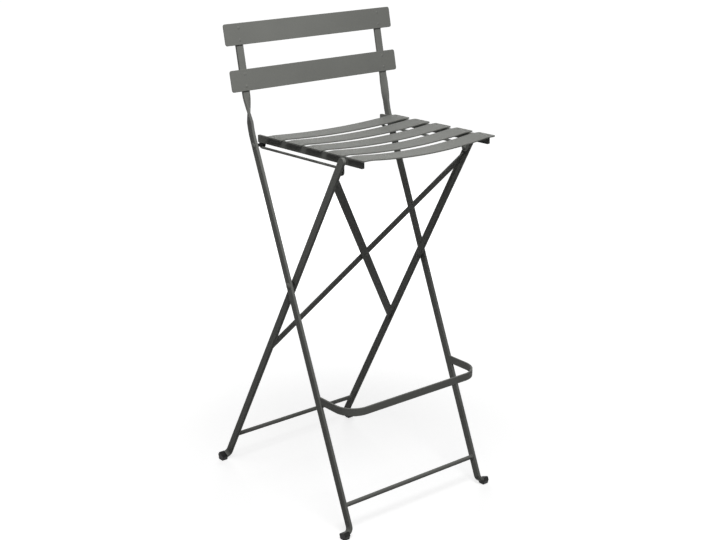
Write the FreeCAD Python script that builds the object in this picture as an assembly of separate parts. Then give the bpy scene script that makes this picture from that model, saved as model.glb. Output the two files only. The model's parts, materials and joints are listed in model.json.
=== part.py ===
"""Folding bar stool: two crossed steel frames, a slatted seat that folds with them, and a footrest.

Millimetres. X is the width, the front faces -Y, +Z is up. The origin is on the floor, under the
middle of the stool. Right-hand pieces are drawn at +X and mirrored for the left-hand ones.
"""

import FreeCAD, Part
import math
import os

Vector = FreeCAD.Vector
X_AXIS = Vector(1, 0, 0)
Y_AXIS = Vector(0, 1, 0)
Z_AXIS = Vector(0, 0, 1)
ORIGIN = Vector(0, 0, 0)

# Side view: where the two frames stand and how they lean
FRONT_FOOT_Y = -239.7
FEET_SPREAD = 497.7
LONG_LEAN = 22.42
SHORT_LEAN = 28.64

# Leg bar, a flat bar with rounded edges
LEG_DEPTH = 18.0
LEG_THICK = 7.0
LEG_EDGE = 2.0
LONG_LEG_X = 192.2
SHORT_LEG_X = 180.4
LEG_TOP_PAST_HINGE = 27.0

# Upper end of the long legs: bent upright, then twisted so that its wide face carries the slats
POST_LEAN = 12.1
POST_BEND_Z = 834.0
POST_BEND_RADIUS = 150.0
POST_TOP_Z = 1060.5
POST_TOP_ROUND = 1.8
TWIST_LOW_Z = 856.0
TWIST_TOP_Z = 912.0
TWIST_SECTIONS = 8

# Feet, bent outwards, with plastic glides
FOOT_REACH = 22.0
FOOT_Z = 11.0
FOOT_BEND_RADIUS = 13.0
GLIDE_LENGTH = 14.0
GLIDE_WALL = 1.1
GLIDE_SOLE_HALF = 7.5
GLIDE_CORNER = 2.4
GLIDE_END_ROUND = 1.2

# Back slats
BACK_SLAT_HALF = 230.0
BACK_SLAT_HEIGHT = 46.5
BACK_SLAT_THICK = 3.0
BACK_SLAT_CORNER = 5.0
BACK_SLAT_EDGE = 0.9
UPPER_SLAT_Z = 1041.4
LOWER_SLAT_Z = 945.2
BACK_RIVET_PITCH = 26.0

# Cross members
STRETCHER_RADIUS = 5.0
FRONT_STRETCHER_Z = 65.4
REAR_STRETCHER_Z = 74.3
FOOTREST_Z = 284.0
FOOTREST_HEIGHT = 18.0
FOOTREST_THICK = 4.0
FOOTREST_EDGE = 1.2
FOOTREST_CORNER = 46.0
FOOTREST_FRONT_Y = -230.0

# Crossed braces between the inner faces of the short legs, one in front of the other
BRACE_WIDTH = 18.0
BRACE_THICK = 4.0
BRACE_EDGE = 0.8
BRACE_TOP_Z = 776.2
BRACE_LOW_Z = 342.8
BRACE_FORWARD = 1.0

# Seat, in its own frame: s runs rearwards and n upwards from the seat hinge
SEAT_TILT = 1.5
SEAT_HINGE_Z = 801.7
SEAT_TOP = 36.6
SLAT_COUNT = 5
SLAT_FRONT_S = -83.7
SLAT_PITCH = 69.05
SLAT_WIDTH = 52.0
SLAT_THICK = 3.0
SLAT_HALF = 182.4
SLAT_FLAT_END = 20.0
SLAT_EASE_RADIUS = 60.0
SLAT_SAG_FRONT = 9.5
SLAT_SAG_REAR = 6.0
SLAT_CORNER = 4.0
SLAT_EDGE = 1.0
RAIL_X = 173.0
RAIL_THICK = 5.0
RAIL_CORNER = 2.5
RAIL_FRONT_S = -73.0
RAIL_REAR_S = 285.0
LUG_RADIUS = 9.0
LUG_REAR_S = 5.2

# Guide: a slider on each side runs between the seat rail and a rod below it
GUIDE_PIN_Z = 807.9
SLIDER_RADIUS = 3.6
SLIDER_FLANGE_RADIUS = 6.5
SLIDER_FLANGE_THICK = 2.3
SLIDER_FLANGE_EDGE = 0.8
SLIDER_END_X = 184.9
ROD_RADIUS = 2.75
ROD_BEND_RADIUS = 6.6
PLAY = 0.3

# Rivets and washers; a head or a tail is (radius, height)
PIVOT_RADIUS = 4.0
PIVOT_HEAD = (8.0, 3.0)
PIVOT_TAIL = (7.5, 2.6)
PIVOT_WASHER_RADIUS = 9.0
HINGE_RADIUS = 3.0
HINGE_HEAD = (5.5, 2.4)
HINGE_SUNK_RADIUS = 5.5
HINGE_WASHER_RADIUS = 6.1
GUIDE_PIN_RADIUS = 3.0
GUIDE_PIN_HEAD = (6.5, 2.6)
GUIDE_PIN_STUB_X = 185.2
RUNNING_CLEARANCE = 0.05
BACK_RIVET_RADIUS = 2.2
BACK_RIVET_HEAD = (3.6, 0.9)
BACK_RIVET_TAIL = (3.2, 0.9)
BRACE_RIVET_RADIUS = 1.8
BRACE_RIVET_HEAD = (3.6, 1.6)
SEAT_RIVET_RADIUS = 1.6
SEAT_RIVET_HEAD = (3.6, 1.1)
SEAT_RIVET_DEPTH = 8.0
SEAT_RIVET_PITCH = 22.0

# How far a cut passes the faces it cuts, and how far joined shapes reach into each other
OVERLAP = 1.0
TOUCHING = 0.001

# Two directions whose cosine is above this count as the same
ALIGNED = 0.999


def sine(degrees):
    return math.sin(math.radians(degrees))


def cosine(degrees):
    return math.cos(math.radians(degrees))


# Directions and pivots that follow from the driving sizes
LONG_UP = Vector(0, sine(LONG_LEAN), cosine(LONG_LEAN))
LONG_FRONT = Vector(0, -cosine(LONG_LEAN), sine(LONG_LEAN))
SHORT_UP = Vector(0, -sine(SHORT_LEAN), cosine(SHORT_LEAN))
SHORT_FRONT = Vector(0, -cosine(SHORT_LEAN), -sine(SHORT_LEAN))
POST_UP = Vector(0, sine(POST_LEAN), cosine(POST_LEAN))
POST_FRONT = Vector(0, -cosine(POST_LEAN), sine(POST_LEAN))


def on_long_leg(z):
    return Vector(0, FRONT_FOOT_Y + math.tan(math.radians(LONG_LEAN)) * z, z)


def on_short_leg(z):
    return Vector(0, FRONT_FOOT_Y + FEET_SPREAD - math.tan(math.radians(SHORT_LEAN)) * z, z)


def on_post(z):
    bend = on_long_leg(POST_BEND_Z)
    return bend + POST_UP * ((z - POST_BEND_Z) / cosine(POST_LEAN))


CROSSING_Z = FEET_SPREAD / (math.tan(math.radians(LONG_LEAN)) + math.tan(math.radians(SHORT_LEAN)))
PIVOT = on_long_leg(CROSSING_Z)
SEAT_HINGE = on_short_leg(SEAT_HINGE_Z)
GUIDE_PIN = on_long_leg(GUIDE_PIN_Z)
SEAT_BACK = Vector(0, cosine(SEAT_TILT), -sine(SEAT_TILT))
SEAT_UP = Vector(0, sine(SEAT_TILT), cosine(SEAT_TILT))
SLIDER_S = (GUIDE_PIN - SEAT_HINGE).dot(SEAT_BACK)
SLIDER_N = (GUIDE_PIN - SEAT_HINGE).dot(SEAT_UP)
ROD_N = SLIDER_N - SLIDER_RADIUS - PLAY - ROD_RADIUS
RAIL_BOTTOM = SLIDER_N + SLIDER_RADIUS + PLAY
RAIL_TOP = SEAT_TOP - SLAT_THICK
ROD_REAR_S = SLIDER_S + SLIDER_RADIUS + PLAY + ROD_RADIUS

# Faces of the bars, across the width
LONG_INNER_X = LONG_LEG_X - LEG_THICK / 2
LONG_OUTER_X = LONG_LEG_X + LEG_THICK / 2
SHORT_INNER_X = SHORT_LEG_X - LEG_THICK / 2
SHORT_OUTER_X = SHORT_LEG_X + LEG_THICK / 2
RAIL_INNER_X = RAIL_X - RAIL_THICK / 2
RAIL_OUTER_X = RAIL_X + RAIL_THICK / 2
FOOTREST_X = LONG_INNER_X + FOOTREST_THICK / 2


def soft_face(corners, radius):
    """A flat polygon with every corner rounded."""
    arcs = []
    for index, corner in enumerate(corners):
        back = (corners[index - 1] - corner).normalize()
        ahead = (corners[(index + 1) % len(corners)] - corner).normalize()
        half_angle = back.getAngle(ahead) / 2
        reach = radius / math.tan(half_angle)
        depth = radius / math.sin(half_angle) - radius
        middle = (back + ahead).normalize() * depth
        arcs.append((corner + back * reach, corner + middle, corner + ahead * reach))
    edges = []
    for arc, following in zip(arcs, arcs[1:] + arcs[:1]):
        edges.append(Part.Arc(*arc).toShape())
        if (following[0] - arc[2]).Length > TOUCHING:
            edges.append(Part.makeLine(arc[2], following[0]))
    return Part.Face(Part.Wire(edges))


def rounded_face(centre, along, across, half_along, half_across, radius):
    """A flat rectangle with rounded corners, centred on a point."""
    turns = ((1, 1), (-1, 1), (-1, -1), (1, -1))
    corners = [centre + along * (a * half_along) + across * (b * half_across) for a, b in turns]
    return soft_face(corners, radius)


def round_face(centre, axis, radius):
    return Part.Face(Part.Wire(Part.makeCircle(radius, centre, axis)))


def twisted_bar(face, place, heading, length, degrees):
    """A straight stretch of bar whose section turns about its own line."""
    sections = []
    for step in range(TWIST_SECTIONS + 1):
        share = step / TWIST_SECTIONS
        section = face.rotated(place, heading, degrees * share)
        sections.append(section.translated(heading * (length * share)).OuterWire)
    return Part.makeLoft(sections, True)


def bar_from(face, place, heading, steps):
    """Grow a bar from its end face.

    A step is a length, (length, degrees) for a twist, or (axis, radius, degrees) for a bend.
    """
    solids = []
    for step in steps:
        if isinstance(step, float):
            move = heading * step
            solids.append(face.extrude(move))
            face = face.translated(move)
            place = place + move
        elif len(step) == 2:
            length, degrees = step
            solids.append(twisted_bar(face, place, heading, length, degrees))
            move = heading * length
            face = face.rotated(place, heading, degrees).translated(move)
            place = place + move
        else:
            axis, radius, degrees = step
            centre = place + axis.cross(heading) * radius
            solids.append(face.revolve(centre, axis, degrees))
            face = face.rotated(centre, axis, degrees)
            turn = FreeCAD.Rotation(axis, degrees)
            place = centre + turn.multVec(place - centre)
            heading = turn.multVec(heading)
    if len(solids) == 1:
        return solids[0]
    return solids[0].fuse(solids[1:]).removeSplitter()


def rod(start, end, radius):
    return Part.makeCylinder(radius, (end - start).Length, start, end - start)


def cap_arc(base, along, across, cap):
    """Half the section of a low dome of (radius, height) that stands on a base point."""
    radius, height = cap
    sphere_radius = (radius ** 2 + height ** 2) / (2 * height)
    half_turn = math.asin(radius / sphere_radius) / 2
    apex = base + along * height
    middle = apex + across * (sphere_radius * math.sin(half_turn))
    middle = middle - along * (sphere_radius * (1 - math.cos(half_turn)))
    rim = base + across * radius
    return apex, rim, Part.Arc(apex, middle, rim).toShape()


def rivet(start, end, radius, head, tail=None):
    """A round shank with a low domed head past its end, and maybe a domed tail before its start."""
    along = (end - start).normalize()
    across = Z_AXIS if abs(along.x) > ALIGNED else X_AXIS
    apex, rim, arc = cap_arc(end, along, across, head)
    side_end = end + across * radius
    side_start = start + across * radius
    edges = [arc, Part.makeLine(rim, side_end), Part.makeLine(side_end, side_start)]
    foot = start
    if tail:
        foot, tail_rim, tail_arc = cap_arc(start, along * -1, across, tail)
        edges += [Part.makeLine(side_start, tail_rim), tail_arc]
    else:
        edges.append(Part.makeLine(side_start, start))
    edges.append(Part.makeLine(foot, apex))
    section = Part.Face(Part.Wire(Part.__sortEdges__(edges)))
    return section.revolve(start, along, 360)


def at_x(point, x):
    return Vector(x, point.y, point.z)


def in_seat(s, n, x=0.0):
    """A point of the seat's own frame, in the frame of the stool."""
    return at_x(SEAT_HINGE, x) + SEAT_BACK * s + SEAT_UP * n


def mirrored(shape):
    return shape.mirror(ORIGIN, X_AXIS)


def round_end(shape, point, direction, radius):
    """Round the sharp rim of a bar's end that faces a direction."""
    rims = []
    for face in shape.Faces:
        normal = face.normalAt(0, 0)
        flat = isinstance(face.Surface, Part.Plane)
        if flat and normal.dot(direction) > ALIGNED and (face.CenterOfMass - point).Length < LEG_DEPTH:
            rims.extend(face.Edges)
    return shape.makeFillet(radius, rims)


def leg_start(x, foot, upward, front):
    """The first steps of a leg: the outward foot, then the turn up along the leg."""
    start = at_x(foot, x + FOOT_REACH)
    face = rounded_face(start, front, upward, LEG_DEPTH / 2, LEG_THICK / 2, LEG_EDGE)
    run = FOOT_REACH - FOOT_BEND_RADIUS
    turn = ((X_AXIS * -1).cross(upward), FOOT_BEND_RADIUS, 90.0)
    return start, face, [run, turn]


def long_leg():
    foot = on_long_leg(FOOT_Z)
    start, face, steps = leg_start(LONG_LEG_X, foot, LONG_UP, LONG_FRONT)
    bend = on_long_leg(POST_BEND_Z)
    lean_change = LONG_LEAN - POST_LEAN
    tangent = POST_BEND_RADIUS * math.tan(math.radians(lean_change / 2))
    straight = (bend - foot).Length - FOOT_BEND_RADIUS - tangent
    twist_low = on_post(TWIST_LOW_Z)
    twist_top = on_post(TWIST_TOP_Z)
    steps += [straight, (X_AXIS, POST_BEND_RADIUS, lean_change), (twist_low - bend).Length - tangent]
    steps += [((twist_top - twist_low).Length, 90.0), (on_post(POST_TOP_Z) - twist_top).Length]
    leg = bar_from(face, start, X_AXIS * -1, steps)
    leg = round_end(leg, at_x(on_post(POST_TOP_Z), LONG_LEG_X), POST_UP, POST_TOP_ROUND)
    leg = leg.cut(hole(PIVOT, LONG_INNER_X, LONG_OUTER_X, PIVOT_RADIUS))
    leg = leg.cut(hole(GUIDE_PIN, LONG_INNER_X, LONG_OUTER_X, GUIDE_PIN_RADIUS))
    for shank in back_rivet_shanks():
        leg = leg.cut(shank)
    return leg


def short_leg():
    foot = on_short_leg(FOOT_Z)
    start, face, steps = leg_start(SHORT_LEG_X, foot, SHORT_UP, SHORT_FRONT)
    top = SEAT_HINGE + SHORT_UP * (LEG_TOP_PAST_HINGE + LEG_DEPTH / 2)
    steps.append((top - foot).Length - FOOT_BEND_RADIUS)
    leg = bar_from(face, start, X_AXIS * -1, steps)
    leg = leg.cut(short_leg_tip_waste())
    running = PIVOT_RADIUS + RUNNING_CLEARANCE
    leg = leg.cut(hole(PIVOT, SHORT_INNER_X, SHORT_OUTER_X, running))
    leg = leg.cut(hole(SEAT_HINGE, SHORT_INNER_X, SHORT_OUTER_X, HINGE_RADIUS))
    return leg.cut(hinge_sunk_end())


def short_leg_tip_waste():
    """What is taken off the square end of a short leg to make it half round."""
    centre = at_x(SEAT_HINGE + SHORT_UP * LEG_TOP_PAST_HINGE, SHORT_LEG_X)
    size = LEG_DEPTH
    corner = centre - X_AXIS * (size / 2) - SHORT_FRONT * size
    face = Part.Face(Part.makePolygon([
        corner,
        corner + SHORT_FRONT * (2 * size),
        corner + SHORT_FRONT * (2 * size) + SHORT_UP * size,
        corner + SHORT_UP * size,
        corner,
    ]))
    block = face.extrude(X_AXIS * size)
    disc = cross_rod(centre, SHORT_LEG_X - size, SHORT_LEG_X + size, LEG_DEPTH / 2)
    return block.cut(disc)


def cross_rod(point, start_x, end_x, radius):
    return rod(at_x(point, start_x), at_x(point, end_x), radius)


def hole(point, inner_x, outer_x, radius):
    return cross_rod(point, inner_x - OVERLAP, outer_x + OVERLAP, radius)


def glide(leg, foot, x, front, upward):
    """A moulded plastic shoe pushed over the tilted end of a foot, with a flat sole."""
    depth = LEG_DEPTH / 2 + GLIDE_WALL
    height = LEG_THICK / 2 + GLIDE_WALL
    turns = ((1, 1), (1, -1), (-1, 1), (-1, -1))
    corners = [foot + front * (a * depth) + upward * (b * height) for a, b in turns]
    upper = sorted(corners, key=lambda corner: corner.z)[1:]
    rear_to_front = sorted(upper, key=lambda corner: -corner.y)
    sole = [Vector(0, foot.y - GLIDE_SOLE_HALF, 0), Vector(0, foot.y + GLIDE_SOLE_HALF, 0)]
    tip = x + FOOT_REACH + GLIDE_WALL
    outline = [at_x(corner, tip) for corner in sole + rear_to_front]
    shoe = soft_face(outline, GLIDE_CORNER).extrude(X_AXIS * -GLIDE_LENGTH)
    rim = [e for e in shoe.Edges if e.BoundBox.XMin > tip - TOUCHING]
    return shoe.makeFillet(GLIDE_END_ROUND, rim).cut(leg)


def stretcher(z, on_leg, inner_x):
    """A round cross bar welded between the inner faces of two legs."""
    centre = on_leg(z)
    return cross_rod(centre, -inner_x, inner_x, STRETCHER_RADIUS)


def footrest_bar(legs):
    """One flat strap bent to a U, standing on edge, its ends welded to the fronts of the legs."""
    start = at_x(on_long_leg(FOOTREST_Z), FOOTREST_X)
    face = rounded_face(start, Z_AXIS, X_AXIS, FOOTREST_HEIGHT / 2, FOOTREST_THICK / 2, FOOTREST_EDGE)
    arm = start.y - FOOTREST_FRONT_Y - FOOTREST_CORNER
    front = 2 * (FOOTREST_X - FOOTREST_CORNER)
    corner = (Z_AXIS * -1, FOOTREST_CORNER, 90.0)
    strap = bar_from(face, start, Y_AXIS * -1, [arm, corner, front, corner, arm])
    for leg in legs:
        strap = strap.cut(leg)
    solids = sorted(strap.Solids, key=lambda solid: solid.Volume)
    return solids[-1]


def back_slat_centre(z):
    """The middle of a slat's back face, on the front of the twisted posts."""
    return on_post(z) + POST_FRONT * (LEG_THICK / 2)


def back_rivet_places():
    places = []
    for z in (UPPER_SLAT_Z, LOWER_SLAT_Z):
        for side in (-1, 1):
            for half in (-0.5, 0.5):
                up = POST_UP * (half * BACK_RIVET_PITCH)
                places.append(at_x(back_slat_centre(z) + up, side * LONG_LEG_X))
    return places


def back_rivet_shanks():
    front = POST_FRONT * BACK_SLAT_THICK
    back = POST_FRONT * -LEG_THICK
    return [rod(place + front, place + back, BACK_RIVET_RADIUS) for place in back_rivet_places()]


def back_slat(z):
    """A straight flat bar across the fronts of the two posts."""
    centre = back_slat_centre(z)
    face = rounded_face(centre, X_AXIS, POST_UP, BACK_SLAT_HALF, BACK_SLAT_HEIGHT / 2, BACK_SLAT_CORNER)
    slat = face.extrude(POST_FRONT * BACK_SLAT_THICK)
    rims = [e for e in slat.Edges if e.Length > BACK_SLAT_THICK + TOUCHING]
    slat = slat.makeFillet(BACK_SLAT_EDGE, rims)
    for shank in back_rivet_shanks():
        slat = slat.cut(shank)
    return slat


def back_slat_rivets():
    rivets = []
    for place in back_rivet_places():
        front = place + POST_FRONT * BACK_SLAT_THICK
        back = place - POST_FRONT * LEG_THICK
        rivets.append(rivet(back, front, BACK_RIVET_RADIUS, BACK_RIVET_HEAD, BACK_RIVET_TAIL))
    return Part.makeCompound(rivets)


def pivot_rivet():
    """The main pivot of one side, fixed in the long leg and running in the short one."""
    inner = at_x(PIVOT, SHORT_INNER_X - PLAY)
    outer = at_x(PIVOT, LONG_OUTER_X)
    return rivet(inner, outer, PIVOT_RADIUS, PIVOT_HEAD, PIVOT_TAIL)


def pivot_washer():
    ring = cross_rod(PIVOT, SHORT_OUTER_X + PLAY, LONG_INNER_X, PIVOT_WASHER_RADIUS)
    return ring.cut(hole(PIVOT, SHORT_OUTER_X, LONG_INNER_X, PIVOT_RADIUS))


def guide_pin():
    """A headed pin through the long leg. Its end meets the slider in the seat's guide."""
    outer = at_x(GUIDE_PIN, LONG_OUTER_X)
    return rivet(at_x(GUIDE_PIN, GUIDE_PIN_STUB_X), outer, GUIDE_PIN_RADIUS, GUIDE_PIN_HEAD)


def hinge_sunk_end():
    """The end of the seat hinge rivet, countersunk in the leg's outer face."""
    flare = HINGE_SUNK_RADIUS - HINGE_RADIUS
    start = at_x(SEAT_HINGE, SHORT_OUTER_X - flare)
    return Part.makeCone(HINGE_RADIUS, HINGE_SUNK_RADIUS, flare, start, X_AXIS)


def hinge_rivet():
    inner = at_x(SEAT_HINGE, RAIL_INNER_X - PLAY)
    outer = at_x(SEAT_HINGE, SHORT_OUTER_X)
    return rivet(outer, inner, HINGE_RADIUS, HINGE_HEAD).fuse(hinge_sunk_end())


def hinge_washer():
    ring = cross_rod(SEAT_HINGE, RAIL_OUTER_X + PLAY, SHORT_INNER_X, HINGE_WASHER_RADIUS)
    return ring.cut(hole(SEAT_HINGE, RAIL_OUTER_X, SHORT_INNER_X, HINGE_RADIUS))


def brace(side, rear):
    """A straight flat bar from the top of one short leg to the lower part of the other.

    Its rear face lies a given length in front of the middle of the legs.
    """
    top = at_x(on_short_leg(BRACE_TOP_Z), side * SHORT_INNER_X) + SHORT_FRONT * rear
    low = at_x(on_short_leg(BRACE_LOW_Z), -side * SHORT_INNER_X) + SHORT_FRONT * rear
    slant = abs((low - top).normalize().x)
    half_end = SHORT_UP * (BRACE_WIDTH / 2 / slant)
    corners = [top + half_end, low + half_end, low - half_end, top - half_end, top + half_end]
    bar = Part.Face(Part.makePolygon(corners)).extrude(SHORT_FRONT * BRACE_THICK)
    long_edges = [e for e in bar.Edges if e.Length > (low - top).Length - TOUCHING]
    return bar.makeFillet(BRACE_EDGE, long_edges)


def brace_cross_points():
    """The rear and the front of the crossing, where one rivet joins the two braces."""
    middle = on_short_leg((BRACE_TOP_Z + BRACE_LOW_Z) / 2) + SHORT_FRONT * BRACE_FORWARD
    return middle - SHORT_FRONT * BRACE_THICK, middle + SHORT_FRONT * BRACE_THICK


def brace_cross_rivet():
    rear, front = brace_cross_points()
    return rivet(rear, front, BRACE_RIVET_RADIUS, BRACE_RIVET_HEAD, BRACE_RIVET_HEAD)


def seat_rail():
    """A flat bar on edge under the slat ends, with a lug that drops to the hinge."""
    plate = Part.Face(Part.makePolygon([
        in_seat(RAIL_FRONT_S, RAIL_BOTTOM),
        in_seat(RAIL_REAR_S, RAIL_BOTTOM),
        in_seat(RAIL_REAR_S, RAIL_TOP),
        in_seat(RAIL_FRONT_S, RAIL_TOP),
        in_seat(RAIL_FRONT_S, RAIL_BOTTOM),
    ])).extrude(X_AXIS * RAIL_THICK)
    cross_edges = [e for e in plate.Edges if e.BoundBox.XLength > RAIL_THICK - TOUCHING]
    plate = plate.makeFillet(RAIL_CORNER, cross_edges)
    stem = Part.Face(Part.makePolygon([
        in_seat(-LUG_RADIUS, 0),
        in_seat(LUG_REAR_S, 0),
        in_seat(LUG_REAR_S, RAIL_BOTTOM + OVERLAP),
        in_seat(-LUG_RADIUS, RAIL_BOTTOM + OVERLAP),
        in_seat(-LUG_RADIUS, 0),
    ])).extrude(X_AXIS * RAIL_THICK)
    eye = rod(in_seat(0, 0), in_seat(0, 0, RAIL_THICK), LUG_RADIUS)
    rail = plate.fuse([stem, eye]).removeSplitter()
    rail.translate(X_AXIS * RAIL_INNER_X)
    running = HINGE_RADIUS + RUNNING_CLEARANCE
    rail = rail.cut(hole(SEAT_HINGE, RAIL_INNER_X, RAIL_OUTER_X, running))
    for slat in range(SLAT_COUNT):
        for shank in seat_rivet_shanks(slat):
            rail = rail.cut(shank)
    return rail


def guide_rod(rail):
    """A round rod below the rail, from the lug to a hook behind the slider's rear stop."""
    start_s = LUG_REAR_S - OVERLAP
    start = in_seat(start_s, ROD_N, RAIL_X)
    face = round_face(start, SEAT_BACK, ROD_RADIUS)
    run = ROD_REAR_S - ROD_BEND_RADIUS - start_s
    rise = RAIL_BOTTOM - ROD_N - ROD_BEND_RADIUS
    steps = [run, (X_AXIS, ROD_BEND_RADIUS, 90.0), rise]
    whole = bar_from(face, start, SEAT_BACK, steps).cut(rail)
    return sorted(whole.Solids, key=lambda solid: solid.Volume)[-1]


def slider():
    """A plastic slider held between the rail and the rod, with a flange on its inner side."""
    centre = in_seat(SLIDER_S, SLIDER_N)
    flange_x = RAIL_X - ROD_RADIUS - PLAY
    body = cross_rod(centre, flange_x, SLIDER_END_X, SLIDER_RADIUS)
    flange = cross_rod(centre, flange_x - SLIDER_FLANGE_THICK, flange_x, SLIDER_FLANGE_RADIUS)
    rim = [e for e in flange.Edges if e.BoundBox.XMax < flange_x - SLIDER_FLANGE_THICK + TOUCHING]
    return body.fuse(flange.makeFillet(SLIDER_FLANGE_EDGE, rim))


def slat_sag(index):
    """Slats count from the front one; the dish is deepest there."""
    return SLAT_SAG_FRONT + (SLAT_SAG_REAR - SLAT_SAG_FRONT) * index / (SLAT_COUNT - 1)


def slat_centre_s(index):
    return SLAT_FRONT_S + SLAT_PITCH * index + SLAT_WIDTH / 2


def seat_rivet_tops(index):
    """Where the two rivets at a slat's right-hand end meet its top face."""
    centre_s = slat_centre_s(index)
    halves = (-0.5, 0.5)
    return [in_seat(centre_s + half * SEAT_RIVET_PITCH, SEAT_TOP, RAIL_X) for half in halves]


def seat_rivet_shanks(index):
    return [rod(top - SEAT_UP * SEAT_RIVET_DEPTH, top, SEAT_RIVET_RADIUS) for top in seat_rivet_tops(index)]


def seat_slat(index):
    """A wide flat bar with level ends on the rails and a shallow dish between them."""
    centre_s = slat_centre_s(index)
    start = in_seat(centre_s, SEAT_TOP - SLAT_THICK / 2, -SLAT_HALF)
    face = rounded_face(start, SEAT_BACK, SEAT_UP, SLAT_WIDTH / 2, SLAT_THICK / 2, SLAT_EDGE)
    reach = SLAT_HALF - SLAT_FLAT_END
    slope = 2 * math.degrees(math.atan(slat_sag(index) / reach))
    dish_radius = reach / sine(slope) - SLAT_EASE_RADIUS
    down = (SEAT_BACK, SLAT_EASE_RADIUS, slope)
    dish = (SEAT_BACK * -1, dish_radius, 2 * slope)
    slat = bar_from(face, start, X_AXIS, [SLAT_FLAT_END, down, dish, down, SLAT_FLAT_END])
    plan = rounded_face(
        in_seat(centre_s, 0), X_AXIS, SEAT_BACK, SLAT_HALF, SLAT_WIDTH / 2, SLAT_CORNER
    )
    slat = slat.common(plan.extrude(SEAT_UP * (2 * SEAT_TOP)))
    for shank in seat_rivet_shanks(index):
        slat = slat.cut(shank)
        slat = slat.cut(mirrored(shank))
    return slat


def seat_slat_rivets():
    rivets = []
    for index in range(SLAT_COUNT):
        for top in seat_rivet_tops(index):
            bottom = top - SEAT_UP * SEAT_RIVET_DEPTH
            right = rivet(bottom, top, SEAT_RIVET_RADIUS, SEAT_RIVET_HEAD)
            rivets += [right, mirrored(right)]
    return Part.makeCompound(rivets)


def build():
    """Every node of the stool, by name."""
    nodes = {}

    def pair(name, shape):
        nodes["right_" + name] = shape
        nodes["left_" + name] = mirrored(shape)

    pair("long_leg", long_leg())
    pair("short_leg", short_leg())
    front_foot = on_long_leg(FOOT_Z)
    rear_foot = on_short_leg(FOOT_Z)
    pair("front_glide", glide(nodes["right_long_leg"], front_foot, LONG_LEG_X, LONG_FRONT, LONG_UP))
    pair("rear_glide", glide(nodes["right_short_leg"], rear_foot, SHORT_LEG_X, SHORT_FRONT, SHORT_UP))
    nodes["front_stretcher"] = stretcher(FRONT_STRETCHER_Z, on_long_leg, LONG_INNER_X)
    nodes["rear_stretcher"] = stretcher(REAR_STRETCHER_Z, on_short_leg, SHORT_INNER_X)
    nodes["footrest_bar"] = footrest_bar([nodes["right_long_leg"], nodes["left_long_leg"]])
    nodes["upper_back_slat"] = back_slat(UPPER_SLAT_Z)
    nodes["lower_back_slat"] = back_slat(LOWER_SLAT_Z)
    nodes["back_slat_rivets"] = back_slat_rivets()
    pair("pivot_rivet", pivot_rivet())
    pair("pivot_washer", pivot_washer())
    pair("guide_pin", guide_pin())
    brace_hole = rod(*brace_cross_points(), BRACE_RIVET_RADIUS)
    nodes["under_brace"] = brace(1, BRACE_FORWARD - BRACE_THICK).cut(brace_hole)
    nodes["over_brace"] = brace(-1, BRACE_FORWARD).cut(brace_hole)
    nodes["brace_cross_rivet"] = brace_cross_rivet()
    pair("hinge_rivet", hinge_rivet())
    pair("hinge_washer", hinge_washer())
    pair("seat_rail", seat_rail())
    pair("guide_rod", guide_rod(nodes["right_seat_rail"]))
    pair("guide_slider", slider())
    for index in range(SLAT_COUNT):
        nodes["seat_slat_" + str(index + 1)] = seat_slat(index)
    nodes["seat_slat_rivets"] = seat_slat_rivets()
    return nodes


def report(nodes):
    """The sizes that the joints and the frame are stated from."""
    box = Part.makeCompound(list(nodes.values())).BoundBox
    print("box", [round(v, 2) for v in (box.XMin, box.XMax, box.YMin, box.YMax, box.ZMin, box.ZMax)])
    print("pivot", PIVOT, "seat hinge", SEAT_HINGE, "guide pin", GUIDE_PIN)
    reach = (GUIDE_PIN - PIVOT).Length
    closed = math.degrees(math.asin(SLIDER_N / reach))
    hinge_reach = (SEAT_HINGE - PIVOT).Length
    closed_s = hinge_reach - reach * cosine(closed)
    print("frame fold", LONG_LEAN + SHORT_LEAN - closed)
    print("seat fold", 90 - SHORT_LEAN - SEAT_TILT)
    print("slide", SLIDER_S - closed_s, "slider at", SLIDER_S, SLIDER_N)


def main():
    os.makedirs("parts", exist_ok=True)
    nodes = build()
    for name, shape in nodes.items():
        if not shape.isValid():
            print("not valid:", name)
        shape.exportStep("parts/" + name + ".step")
    report(nodes)


main()
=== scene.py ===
"""Looks for the folding bar stool: satin powder coat, black plastic, weld beads, a white studio and a camera.

Metres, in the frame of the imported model: X is the width, the front faces -Y, +Z is up.
"""

import json
import math

import bmesh
import bpy
from mathutils import Matrix, Vector, noise


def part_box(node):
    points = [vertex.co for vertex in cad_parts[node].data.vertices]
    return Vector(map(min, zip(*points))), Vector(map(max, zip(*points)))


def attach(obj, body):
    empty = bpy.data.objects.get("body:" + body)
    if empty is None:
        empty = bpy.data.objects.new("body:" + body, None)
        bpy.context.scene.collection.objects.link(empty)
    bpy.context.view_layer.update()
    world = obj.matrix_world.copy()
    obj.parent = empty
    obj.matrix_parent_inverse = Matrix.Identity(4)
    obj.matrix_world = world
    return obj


MM = 0.001
SIDES = ((-1, "left"), (1, "right"))

# The camera, fitted to the photograph
IMAGE_WIDTH = 716
FOCAL_PIXELS = 1369.5
SENSOR_WIDTH = 36.0
CAMERA_PLACE = (-1.8486, -2.2863, 1.4897)
CAMERA_AZIMUTH = -39.252
CAMERA_ELEVATION = 18.448
CAMERA_ROLL = 0.111

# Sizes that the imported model's boxes don't give
LEG_DEPTH = 18.0 * MM
BRACE_WIDTH = 18.0 * MM
BRACE_THICK = 4.0 * MM
BRACE_END_ROUNDS = 20

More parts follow.
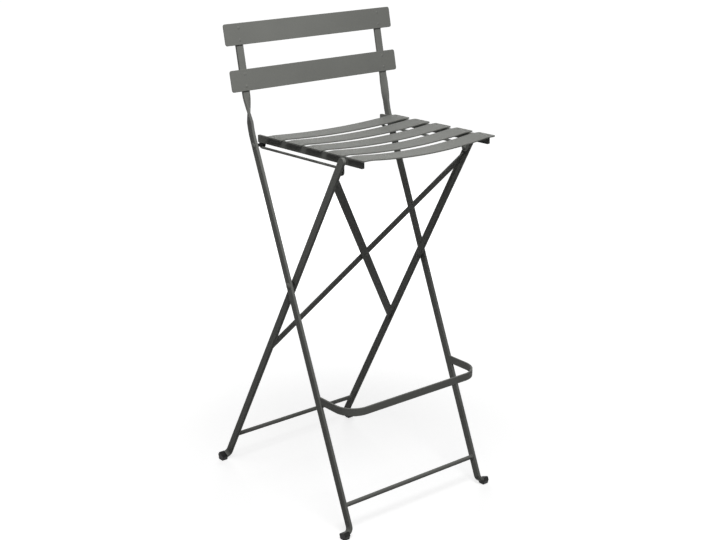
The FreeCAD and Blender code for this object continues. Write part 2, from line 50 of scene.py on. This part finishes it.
# Weld beads: reach, ripples along them, and how they thin out at open ends
STRETCHER_BEAD = 2.1 * MM
FOOTREST_BEAD = 1.5 * MM
BRACE_BEAD = 1.5 * MM
BEAD_BURIED = 0.3 * MM
BEAD_RIPPLE_PITCH = 2.1 * MM
BEAD_RIPPLE = 0.14
BEAD_UNEVEN_SCALE = 400.0
BEAD_END_SHARE = 0.05
BEAD_END_POWER = 0.35
BEAD_STEPS = 72
BRACE_BEAD_STEPS = 24
BEAD_SECTION_STEPS = 8

# Colours, linear
COAT_COLOUR = (0.238, 0.242, 0.226)
PLASTIC_COLOUR = (0.012, 0.012, 0.012)
FLOOR_COLOUR = (0.55, 0.55, 0.55)
FLOOR_BOUNCE = (0.06, 0.06, 0.06)
WHITE = (1.0, 1.0, 1.0)

# Noise: scale per metre, and detail
DRIFT_NOISE = (9.0, 3.0)
SPECK_NOISE = (1400.0, 2.0)
PEEL_NOISE = (620.0, 2.0)
PLASTIC_NOISE = (1800.0, 3.0)

# Powder coat: the span of noise used, shades, roughness and orange peel
NOISE_SPAN = (0.3, 0.7)
DRIFT_SHADES = (0.96, 1.04)
SPECK_SHADES = (0.93, 1.07)
COAT_ROUGHNESS = (0.44, 0.58)
COAT_SPECULAR = 0.12
PEEL_STRENGTH = 0.35
PEEL_HEIGHT = 0.12 * MM

# Plastic
PLASTIC_ROUGHNESS = (0.45, 0.65)
PLASTIC_SPECULAR = 0.3
PLASTIC_GRAIN_STRENGTH = 0.4
PLASTIC_GRAIN_HEIGHT = 0.08 * MM
PLASTIC_WORDS = ("glide", "slider", "washer")

# Studio: the floor's glow rises between two distances, the world's light is for bounced rays and for the eye,
# and each lamp has a place, a target, a size and a power
FLOOR_RADIUS = 40.0
FLOOR_SIDES = 96
FLOOR_GLOW = (0.73, 1.0)
FLOOR_GLOW_DISTANCES = (0.3, 1.4)
WORLD_LIGHT = (0.06, 1.0)
MAIN_PANEL = ((-0.50, -0.90, 2.25), (0.0, 0.0, 0.8), 0.9, 25.0)
REAR_PANEL = ((1.4, 2.2, 1.1), (0.0, 0.0, 0.6), 1.4, 24.0)

# Sockets of the mix node when it mixes colours
MIX_FIRST = 6
MIX_SECOND = 7
MIX_RESULT = 2

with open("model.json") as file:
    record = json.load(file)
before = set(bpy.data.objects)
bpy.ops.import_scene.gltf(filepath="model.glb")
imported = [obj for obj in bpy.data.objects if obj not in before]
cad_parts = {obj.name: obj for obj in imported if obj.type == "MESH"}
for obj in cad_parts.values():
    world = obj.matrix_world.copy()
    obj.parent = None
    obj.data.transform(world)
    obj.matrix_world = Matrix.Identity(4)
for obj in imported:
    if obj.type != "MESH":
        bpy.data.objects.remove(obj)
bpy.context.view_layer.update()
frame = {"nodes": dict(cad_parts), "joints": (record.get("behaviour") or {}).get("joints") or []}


def opaque(colour):
    return (*colour, 1.0)


def link_object(name, data):
    thing = bpy.data.objects.new(name, data)
    bpy.context.scene.collection.objects.link(thing)
    return thing


def new_material(name):
    material = bpy.data.materials.new(name)
    material.use_nodes = True
    tree = material.node_tree
    tree.nodes.clear()
    output = tree.nodes.new("ShaderNodeOutputMaterial")
    return material, tree, output


def object_place(tree):
    return tree.nodes.new("ShaderNodeTexCoord").outputs["Object"]


def noise_node(tree, place, scale, detail):
    """Even noise over the object, from 0 to 1."""
    node = tree.nodes.new("ShaderNodeTexNoise")
    tree.links.new(place, node.inputs["Vector"])
    node.inputs["Scale"].default_value = scale
    node.inputs["Detail"].default_value = detail
    return node.outputs["Fac"]


def map_node(tree, value, to, span=(0.0, 1.0)):
    """A map range node that takes the span to the two values given."""
    node = tree.nodes.new("ShaderNodeMapRange")
    tree.links.new(value, node.inputs["Value"])
    node.inputs["From Min"].default_value, node.inputs["From Max"].default_value = span
    node.inputs["To Min"].default_value, node.inputs["To Max"].default_value = to
    return node


def math_node(tree, operation, first, second):
    node = tree.nodes.new("ShaderNodeMath")
    node.operation = operation
    tree.links.new(first, node.inputs[0])
    tree.links.new(second, node.inputs[1])
    return node.outputs["Value"]


def bump_node(tree, height, strength, depth):
    node = tree.nodes.new("ShaderNodeBump")
    tree.links.new(height, node.inputs["Height"])
    node.inputs["Strength"].default_value = strength
    node.inputs["Distance"].default_value = depth
    return node.outputs["Normal"]


def surface_shader(tree, output, roughness, normal, specular):
    """The surface shader, joined to its roughness and bump and to the material's output."""
    shader = tree.nodes.new("ShaderNodeBsdfPrincipled")
    tree.links.new(roughness, shader.inputs["Roughness"])
    tree.links.new(normal, shader.inputs["Normal"])
    shader.inputs["Specular IOR Level"].default_value = specular
    tree.links.new(shader.outputs["BSDF"], output.inputs["Surface"])
    return shader


def coat_material():
    """Satin powder coat: a fine orange peel, with faint specks and broad drifts of shade."""
    material, tree, output = new_material("powder_coat")
    place = object_place(tree)
    drift = noise_node(tree, place, *DRIFT_NOISE)
    specks = noise_node(tree, place, *SPECK_NOISE)
    peel = noise_node(tree, place, *PEEL_NOISE)

    shade = map_node(tree, drift, DRIFT_SHADES, NOISE_SPAN).outputs["Result"]
    grain = map_node(tree, specks, SPECK_SHADES, NOISE_SPAN).outputs["Result"]
    colour = tree.nodes.new("ShaderNodeVectorMath")
    colour.operation = "SCALE"
    colour.inputs[0].default_value = COAT_COLOUR
    tree.links.new(math_node(tree, "MULTIPLY", shade, grain), colour.inputs["Scale"])

    roughness = map_node(tree, peel, COAT_ROUGHNESS).outputs["Result"]
    normal = bump_node(tree, peel, PEEL_STRENGTH, PEEL_HEIGHT)
    shader = surface_shader(tree, output, roughness, normal, COAT_SPECULAR)
    tree.links.new(colour.outputs["Vector"], shader.inputs["Base Color"])
    return material


def plastic_material():
    """Black moulded plastic with a fine matte grain."""
    material, tree, output = new_material("black_plastic")
    grain = noise_node(tree, object_place(tree), *PLASTIC_NOISE)
    roughness = map_node(tree, grain, PLASTIC_ROUGHNESS).outputs["Result"]
    normal = bump_node(tree, grain, PLASTIC_GRAIN_STRENGTH, PLASTIC_GRAIN_HEIGHT)
    shader = surface_shader(tree, output, roughness, normal, PLASTIC_SPECULAR)
    shader.inputs["Base Color"].default_value = opaque(PLASTIC_COLOUR)
    return material


def paint_nodes(coat, plastic):
    """Plastic for the small black pieces, and powder coat for all others."""
    for name, thing in frame["nodes"].items():
        dark = any(word in name for word in PLASTIC_WORDS)
        for slot in thing.material_slots:
            slot.material = plastic if dark else coat


def seen_by_eye(tree):
    """1 for rays from the camera, or by way of a gloss or glass, and 0 for bounced light."""
    path = tree.nodes.new("ShaderNodeLightPath")
    total = path.outputs["Is Camera Ray"]
    for name in ("Is Glossy Ray", "Is Transmission Ray"):
        total = math_node(tree, "MAXIMUM", total, path.outputs[name])
    return total


def floor_material():
    """White to the eye with a faint shadow kept, and dark to the light that bounces off it."""
    material, tree, output = new_material("studio_floor")
    eye = seen_by_eye(tree)
    mix = tree.nodes.new("ShaderNodeMix")
    mix.data_type = "RGBA"
    tree.links.new(eye, mix.inputs["Factor"])
    mix.inputs[MIX_FIRST].default_value = opaque(FLOOR_BOUNCE)
    mix.inputs[MIX_SECOND].default_value = opaque(FLOOR_COLOUR)
    lit = tree.nodes.new("ShaderNodeBsdfDiffuse")
    tree.links.new(mix.outputs[MIX_RESULT], lit.inputs["Color"])

    distance = tree.nodes.new("ShaderNodeVectorMath")
    distance.operation = "LENGTH"
    tree.links.new(object_place(tree), distance.inputs[0])
    far = map_node(tree, distance.outputs["Value"], FLOOR_GLOW, FLOOR_GLOW_DISTANCES)
    far.interpolation_type = "SMOOTHSTEP"
    glow = tree.nodes.new("ShaderNodeEmission")
    tree.links.new(math_node(tree, "MULTIPLY", far.outputs["Result"], eye), glow.inputs["Strength"])
    both = tree.nodes.new("ShaderNodeAddShader")
    tree.links.new(lit.outputs["BSDF"], both.inputs[0])
    tree.links.new(glow.outputs["Emission"], both.inputs[1])
    tree.links.new(both.outputs["Shader"], output.inputs["Surface"])
    return material


def add_floor():
    """A wide flat disc under the feet."""
    mesh = bpy.data.meshes.new("studio_floor")
    shape = bmesh.new()
    bmesh.ops.create_circle(shape, cap_ends=True, segments=FLOOR_SIDES, radius=FLOOR_RADIUS)
    shape.to_mesh(mesh)
    shape.free()
    mesh.materials.append(floor_material())
    link_object("studio_floor", mesh)


def add_world():
    """White behind everything, and a weak even light."""
    world = bpy.data.worlds.new("studio")
    world.use_nodes = True
    bpy.context.scene.world = world
    tree = world.node_tree
    background = tree.nodes["Background"]
    background.inputs["Color"].default_value = opaque(WHITE)
    strength = map_node(tree, seen_by_eye(tree), WORLD_LIGHT)
    tree.links.new(strength.outputs["Result"], background.inputs["Strength"])


def add_panel(name, place, target, size, power):
    """A soft square lamp aimed at a point."""
    light = bpy.data.lights.new(name, "AREA")
    light.shape = "SQUARE"
    light.size = size
    light.energy = power
    lamp = link_object(name, light)
    lamp.location = place
    lamp.rotation_euler = (Vector(target) - Vector(place)).to_track_quat("-Z", "Y").to_euler()
    lamp.visible_camera = False
    lamp.visible_glossy = False


def add_lights():
    """A main light above the left front of the stool, and a weak one low behind its right."""
    add_panel("main_panel", *MAIN_PANEL)
    add_panel("rear_panel", *REAR_PANEL)


def add_camera():
    data = bpy.data.cameras.new("camera")
    data.sensor_width = SENSOR_WIDTH
    data.lens = FOCAL_PIXELS * SENSOR_WIDTH / IMAGE_WIDTH
    camera = link_object("camera", data)
    turn = Matrix.Rotation(math.radians(CAMERA_AZIMUTH), 4, "Z")
    tilt = Matrix.Rotation(math.radians(90.0 - CAMERA_ELEVATION), 4, "X")
    roll = Matrix.Rotation(math.radians(CAMERA_ROLL), 4, "Z")
    camera.matrix_world = Matrix.Translation(CAMERA_PLACE) @ turn @ tilt @ roll
    bpy.context.scene.camera = camera


def bead_reach(point, travelled, share, size, closed):
    """How far a bead reaches at one point, with its ripples, and thinner towards open ends."""
    ripple = abs(math.sin(math.pi * travelled / BEAD_RIPPLE_PITCH))
    uneven = noise.noise(point * BEAD_UNEVEN_SCALE)
    reach = size * (1.0 - BEAD_RIPPLE + BEAD_RIPPLE * ripple + BEAD_RIPPLE * uneven)
    if not closed:
        reach *= max(BEAD_END_SHARE, math.sin(math.pi * share)) ** BEAD_END_POWER
    return reach


def bead_mesh(name, corners, size, closed):
    """A quarter-round weld bead along the inner corner between a bar and the face it meets.

    Each corner is a point, a direction over the face away from the bar, and one along the bar.
    """
    shape = bmesh.new()
    rings = []
    travelled = 0.0
    last_point = corners[0][0]
    for index, (point, over, along) in enumerate(corners):
        travelled += (point - last_point).length
        last_point = point
        reach = bead_reach(point, travelled, index / (len(corners) - 1), size, closed)
        ring = [shape.verts.new(point - (over + along) * BEAD_BURIED)]
        for step in range(BEAD_SECTION_STEPS + 1):
            angle = math.pi / 2 * step / BEAD_SECTION_STEPS
            outward = over * math.cos(angle) + along * math.sin(angle)
            ring.append(shape.verts.new(point + outward * reach))
        rings.append(ring)
    following = rings[1:] + rings[:1] if closed else rings[1:]
    for ring, after in zip(rings, following):
        for spot in range(len(ring)):
            shape.faces.new((ring[spot - 1], ring[spot], after[spot], after[spot - 1]))
    if not closed:
        shape.faces.new(rings[0])
        shape.faces.new(rings[-1][::-1])
    bmesh.ops.recalc_face_normals(shape, faces=shape.faces[:])
    mesh = bpy.data.meshes.new(name)
    shape.to_mesh(mesh)
    shape.free()
    mesh.shade_smooth()
    return mesh


def add_bead(name, body, coat, corners, size, closed):
    mesh = bead_mesh(name, corners, size, closed)
    mesh.materials.append(coat)
    bead = link_object(name, mesh)
    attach(bead, body)


def ring_corners(centre, axis, radius):
    """Corners round a rod that runs across the stool and meets a leg, with the axis away from the leg."""
    side = Vector((0, 0, 1))
    other = axis.cross(side)
    corners = []
    for step in range(BEAD_STEPS):
        angle = math.radians(360.0 * step / BEAD_STEPS)
        radial = side * math.cos(angle) + other * math.sin(angle)
        corners.append((centre + radial * radius, radial, axis))
    return corners


def stretcher_beads(coat):
    """A bead round each end of the two round stretchers."""
    for node, body in (("front_stretcher", "long_frame"), ("rear_stretcher", "short_frame")):
        low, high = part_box(node)
        centre = (low + high) / 2
        radius = (high.z - low.z) / 2
        for side, name in SIDES:
            end = Vector((side * high.x, centre.y, centre.z))
            corners = ring_corners(end, Vector((-side, 0, 0)), radius)
            add_bead(f"{name}_{node}_weld", body, coat, corners, STRETCHER_BEAD, True)


def joint_place(name):
    """Where a joint's axis is, on the middle plane."""
    joint = next(j for j in frame["joints"] if j["name"] == name)
    return Vector(joint["pos_m"])


def leg_directions(stretcher):
    """The ways up along and forward from a pair of legs, from their stretcher and the pivot."""
    low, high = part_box(stretcher)
    upward = joint_place("frame_fold") - (low + high) / 2
    upward = Vector((0, upward.y, upward.z)).normalized()
    return upward, Vector((0, -upward.z, upward.y))


def footrest_beads(coat):
    """An upright bead at each end of the footrest, on the front of the leg beside the strap."""
    upward, forward = leg_directions("front_stretcher")
    low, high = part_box("footrest_bar")
    middle_z = (low.z + high.z) / 2
    half = (high.z - low.z) / 2 / upward.z
    face = joint_place("frame_fold") + forward * (LEG_DEPTH / 2)
    face = face + upward * ((middle_z - face.z) / upward.z)
    for side, name in SIDES:
        corners = []
        for step in range(BEAD_STEPS + 1):
            point = face + upward * (half * (2 * step / BEAD_STEPS - 1))
            point = Vector((side * high.x, point.y, point.z))
            corners.append((point, Vector((side, 0, 0)), Vector((0, -1, 0))))
        add_bead(f"{name}_footrest_weld", "long_frame", coat, corners, FOOTREST_BEAD, False)


def brace_ends(run, whole_rise):
    """Half the length of a brace's slanting end cut, and the rise of its middle line.

    The run is across the width, and the whole rise along the legs counts both end cuts.
    """
    half_end = BRACE_WIDTH / 2
    for _ in range(BRACE_END_ROUNDS):
        rise = whole_rise - 2 * half_end
        half_end = BRACE_WIDTH / 2 * math.hypot(run, rise) / run
    return half_end, rise


def brace_beads(coat):
    """Beads above and below each end of the braces, on the inner faces of the short legs."""
    upward, forward = leg_directions("rear_stretcher")
    for node, rising in (("under_brace", 1), ("over_brace", -1)):
        low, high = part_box(node)
        middle = (low + high) / 2
        whole_rise = (high.z - low.z - BRACE_THICK * abs(forward.z)) / upward.z
        half_end, rise = brace_ends(high.x - low.x, whole_rise)
        for side, name in SIDES:
            centre = Vector((side * high.x, middle.y, middle.z)) + upward * (side * rising * rise / 2)
            for edge, place in ((-1, "low"), (1, "top")):
                corners = []
                for step in range(BRACE_BEAD_STEPS + 1):
                    across = forward * (BRACE_THICK * (step / BRACE_BEAD_STEPS - 0.5))
                    point = centre + upward * (edge * half_end) + across
                    corners.append((point, upward * edge, Vector((-side, 0, 0))))
                bead = f"{name}_{node}_{place}_weld"
                add_bead(bead, "short_frame", coat, corners, BRACE_BEAD, False)


def main():
    bpy.context.scene.view_settings.view_transform = "Standard"
    add_camera()
    coat = coat_material()
    paint_nodes(coat, plastic_material())
    stretcher_beads(coat)
    footrest_beads(coat)
    brace_beads(coat)
    add_floor()
    add_world()
    add_lights()


main()
